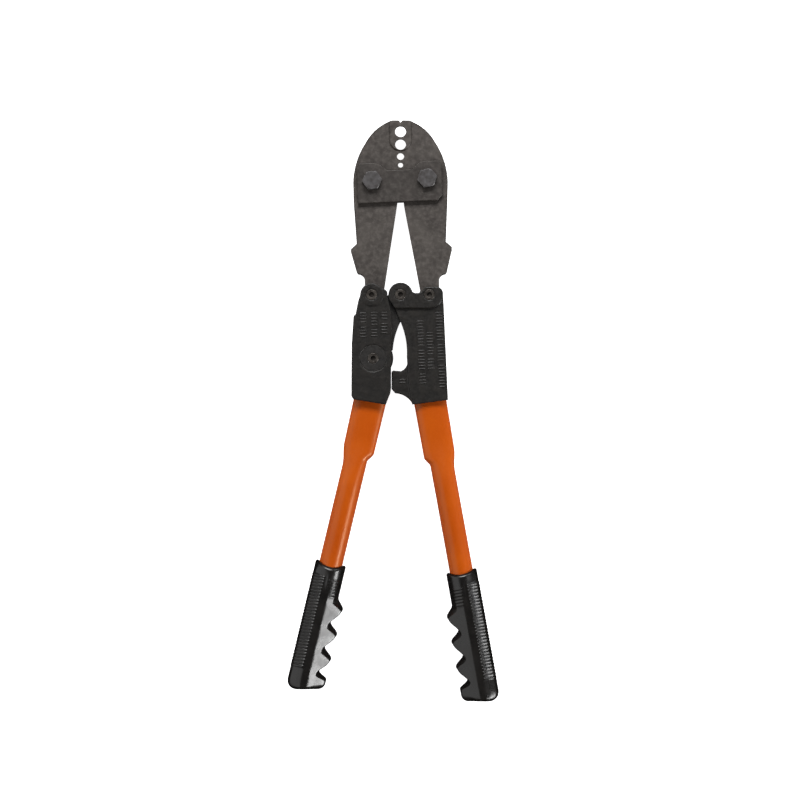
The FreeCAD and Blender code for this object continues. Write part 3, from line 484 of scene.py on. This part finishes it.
def half_section(s):
    """Front half of a section from the outer side (n < 0) over the top to the finger side."""
    edge = facet_reach(s)
    edge_height = TOP - (edge - FLAT_TO) * FACET_SLOPE
    low = max(side_reach(s), edge - 2.4)
    corners = [(-12.6, 0.0), (-12.5, 2.6), (-12.0, 5.6), (-10.8, 8.0), (-6.5, 10.3), (FLAT_FROM, TOP),
               (FLAT_TO, TOP), (edge, edge_height), (lerp(0.62, edge, low), edge_height * 0.52), (low, 0.0)]
    outer_faceted = smooth(s, -3.0, 13.0)
    finger_faceted = smooth(s, 15.0, 31.0)
    points = []
    for step in range(SECTION_STEPS + 1):
        u = step / SECTION_STEPS
        index = max(i for i, share in enumerate(CORNER_SHARES[:-1]) if share <= u)
        t = (u - CORNER_SHARES[index]) / (CORNER_SHARES[index + 1] - CORNER_SHARES[index])
        n = lerp(t, corners[index][0], corners[index + 1][0])
        h = lerp(t, corners[index][1], corners[index + 1][1])
        angle = math.pi * (1 - u)
        faceted = lerp(smooth(u, 0.42, 0.54), outer_faceted, finger_faceted)
        points.append(Vector((lerp(faceted, math.cos(angle) * GRIP_RADIUS, n),
                              lerp(faceted, math.sin(angle) * GRIP_RADIUS, h))))
    for _ in range(SOFTENING):
        between = [(a + b * 2 + c) / 4 for a, b, c in zip(points, points[1:], points[2:])]
        points = [points[0], *between, points[-1]]
    return points


def ribs(s, u, length):
    """Height of the moulded ribs at distance s and share u of the half section."""
    crown = abs(math.sin(math.pi * s / RIB_PITCH)) ** 0.8
    panel = smooth(u, 0.04, 0.08) * (1 - smooth(u, 0.385, 0.415))
    panel *= smooth(s, 9.5, 10.7) * (1 - smooth(s, length - 18.5, length - 17.5))
    throat = smooth(u, 0.52, 0.56) * (1 - smooth(u, 0.80, 0.88))
    throat *= smooth(s, 12.0, 13.0) * (1 - smooth(s, 28.5, 29.5))
    return crown * (PANEL_RIB * panel + THROAT_RIB * throat) + PANEL_RISE * panel


def corner(s, end, radius):
    """How far a rounded corner has come in at distance s, for a corner that ends at end."""
    t = min(1.0, max(0.0, (s - (end - radius)) / radius))
    return radius * (1 - math.sqrt(1 - t * t))


def grip(side):
    """One moulded grip: a rolled lip round the tube, ribs, finger ridges and a level rounded end."""
    axis = AXES[side]
    start, end = GRIP_SPAN[side]
    length = end - start
    slant = -abs(axis.down.x / axis.down.y)      # what makes the end level
    finish = length - END_GAP[side]

    def ring(s, grow, ribbed):
        half = half_section(s)
        total = len(half) - 1
        outer_share = 1 - corner(s, finish, OUTER_ROUND) / OUTER_HALF
        inner_in = corner(s, finish, INNER_ROUND)
        top_share = 1 - corner(s, finish, TOP_ROUND) / TOP
        closed = []
        for index, point in enumerate(half):
            if index in (0, total):
                out = Vector((math.copysign(1, point.x), 0))
            else:
                out = Vector((point.x - 1.0, point.y)).normalized()
            rise = ribs(s, index / total, length) if ribbed else 0.0
            place = point + out * (grow + rise)
            n = place.x * outer_share if place.x < 0 else place.x - inner_in * smooth(place.x, 4, 14)
            closed.append((n, place.y * top_share))
        closed += [(n, -h) for n, h in reversed(closed[1:-1])]
        points = []
        for n, h in closed:
            scoop = SCOOP[side] * (1 - smooth(s, 0, 16)) * min(1.0, (h / GRIP_RADIUS) ** 2)
            lean = n * slant * smooth(s, length - 26, length - 3)
            points.append(axis.point(start + s + scoop + lean, n, h))
        return points

    round_start = finish - OUTER_ROUND
    steps = int((round_start - LIP_END) / RING_GAP)
    stops = [lerp(step / steps, LIP_END, round_start) for step in range(steps + 1)]
    for step in range(1, END_RINGS + 1):
        stops.append(round_start + OUTER_ROUND * math.sin(math.pi / 2 * step / END_RINGS))
    rings = [ring(s, grow, False) for s, grow in LIP] + [ring(s, 0.0, True) for s in stops]
    loft(side + "_grip_moulded", rings, BODY_OF[side], "grip_vinyl", side + "_grip")


for side in ("left", "right"):
    tube(side)
    grip(side)


# ---------------------------------------------------------------- relief on the castings

BAR_SIZE = (2.9, 0.55)      # half length and half width of a raised bar
BAR_PITCH = 2.45
BAR_HEIGHT = 0.5
BAR_STEPS = 20
BAR_ROWS = ((1.25, -0.35), (1.12, 0.0), (0.92, 0.62), (0.62, 0.94))      # (spread, share of the height)
GROUP_GAP = 0.8             # extra gap between groups of bars, in pitches
RIGHT_FACE, LEFT_FACE, LUG_FACE = 10.5, 13.0, 8.4      # the faces' heights over the hinge's middle


def bar(build, centre, turn):
    """Add one smooth raised bar, sunk a little into the face under it."""
    half_length, half_width = BAR_SIZE
    along = Vector((math.cos(turn), math.sin(turn), 0))
    across = Vector((-math.sin(turn), math.cos(turn), 0))
    rows = []
    for grow, lift in BAR_ROWS:
        row = []
        for step in range(BAR_STEPS):
            angle = 2 * math.pi * step / BAR_STEPS
            reach = half_length - half_width * (1 - grow)
            x = math.copysign(abs(math.cos(angle)) ** 0.5, math.cos(angle)) * reach
            y = math.sin(angle) * half_width * grow
            rise = UP * lift * BAR_HEIGHT
            row.append(build.verts.new(centre + (along * x + across * y + rise) * MM))
        rows.append(row)
    skin(build, rows)
    build.faces.new(rows[-1])
    build.faces.new(reversed(rows[0]))


def relief(name, body, face, columns, lean):
    """Columns of plain raised bars; a column is (x, y of its top, counts of bars between gaps)."""
    build = bmesh.new()
    for x, top, groups in columns:
        y = top
        for count in groups:
            for _ in range(count):
                centre = HINGE + Vector((x + math.tan(lean) * (top - y), y, face)) * MM
                bar(build, centre, lean)
                y -= BAR_PITCH
            y -= BAR_PITCH * GROUP_GAP
    smooth_piece(build, name, body, "black_casting")


RIGHT_LEAN, LEFT_LEAN = math.radians(2.9), math.radians(0.6)
relief("right_casting_bars", "right_handle", RIGHT_FACE,
       [(15.6, -21.5, (9, 7, 4)), (23.4, -31.0, (8, 4)), (31.0, -14.5, (10, 6, 8))], RIGHT_LEAN)
relief("left_casting_bars", "left_handle", LEFT_FACE,
       [(-30.6, -15.0, (4, 4)), (-21.6, -14.5, (5, 3)), (-13.4, -14.5, (3, 4))], LEFT_LEAN)
relief("lug_bars", "right_handle", LUG_FACE, [(1.6, -69.0, (2,))], RIGHT_LEAN)


# ---------------------------------------------------------------- stage

FLOOR_HALF = 6            # metres


def ground():
    """A plain pale floor that gives its own light, so that shadows on it stay faint."""
    mesh = bpy.data.meshes.new("floor")
    build = bmesh.new()
    bmesh.ops.create_grid(build, x_segments=2, y_segments=2, size=FLOOR_HALF)
    build.to_mesh(mesh)
    build.free()
    floor = bpy.data.objects.new("floor", mesh)
    bpy.context.scene.collection.objects.link(floor)
    s = Shader("pale_floor", Specular_IOR_Level=0.1)
    tone = s.mix(s.span(s.noise(400, 2), 0.3, 0.7), (0.86, 0.86, 0.86, 1), (0.9, 0.9, 0.9, 1))
    s.surface.inputs["Emission Color"].default_value = (1, 1, 1, 1)
    s.surface.inputs["Emission Strength"].default_value = 1.0
    s.finish(tone, 0.9)
    mesh.materials.append(s.material)
    floor.visible_glossy = False


def softbox(name, place, aim, width, height, power, tint=(1, 1, 1)):
    """An area light at one point, turned towards another, sizes in metres."""
    lamp = bpy.data.lights.new(name, "AREA")
    lamp.shape = "RECTANGLE"
    lamp.size, lamp.size_y = width, height
    lamp.energy = power
    lamp.color = tint
    item = bpy.data.objects.new(name, lamp)
    bpy.context.scene.collection.objects.link(item)
    item.location = place
    item.rotation_euler = (Vector(aim) - Vector(place)).to_track_quat("-Z", "Y").to_euler()


SENSOR_MM = 36
CAMERA_HEIGHT = 6.0
FIELD = 0.6512            # width of the view at the tool's middle plane
CAMERA_SHIFT = (0.0056, 0.0100)      # where the camera stands beside the box's middle


def camera():
    """A long lens straight over the tool."""
    lens = bpy.data.cameras.new("camera")
    lens.sensor_width = SENSOR_MM
    lens.lens = SENSOR_MM * CAMERA_HEIGHT / FIELD
    item = bpy.data.objects.new("camera", lens)
    bpy.context.scene.collection.objects.link(item)
    middle = (cad_low + cad_high) / 2
    item.location = middle + Vector((*CAMERA_SHIFT, CAMERA_HEIGHT))
    bpy.context.scene.camera = item


ground()
# name, place, aim, width, height, power, tint
softbox("key", (-0.05, 1.25, 1.35), (0, 0, 0), 1.0, 0.6, 34)
softbox("right_low", (1.05, -0.56, 0.62), (0, -0.1, 0), 0.30, 0.45, 11)
softbox("left_wall", (-1.35, 0.0, 0.95), (0, 0, 0.05), 1.7, 1.7, 10)
softbox("right_high", (0.95, 0.75, 0.85), (0, 0, 0), 0.3, 0.3, 3.0, (0.92, 0.96, 1.0))


def sky():
    """A dim studio: darkest below the horizon, a little paler overhead."""
    world = bpy.data.worlds.new("studio")
    bpy.context.scene.world = world
    world.use_nodes = True
    tree = world.node_tree
    direction = tree.nodes.new("ShaderNodeTexCoord")
    split = tree.nodes.new("ShaderNodeSeparateXYZ")
    span = tree.nodes.new("ShaderNodeMapRange")
    span.inputs["From Min"].default_value = -0.1
    span.inputs["From Max"].default_value = 0.25
    span.inputs["To Min"].default_value = 0.02
    span.inputs["To Max"].default_value = 0.12
    tree.links.new(direction.outputs["Generated"], split.inputs[0])
    tree.links.new(split.outputs["Z"], span.inputs["Value"])
    tree.links.new(span.outputs[0], tree.nodes["Background"].inputs["Strength"])
    tree.nodes["Background"].inputs["Color"].default_value = (1, 1, 1, 1)


sky()
bpy.context.scene.view_settings.view_transform = "Standard"
camera()
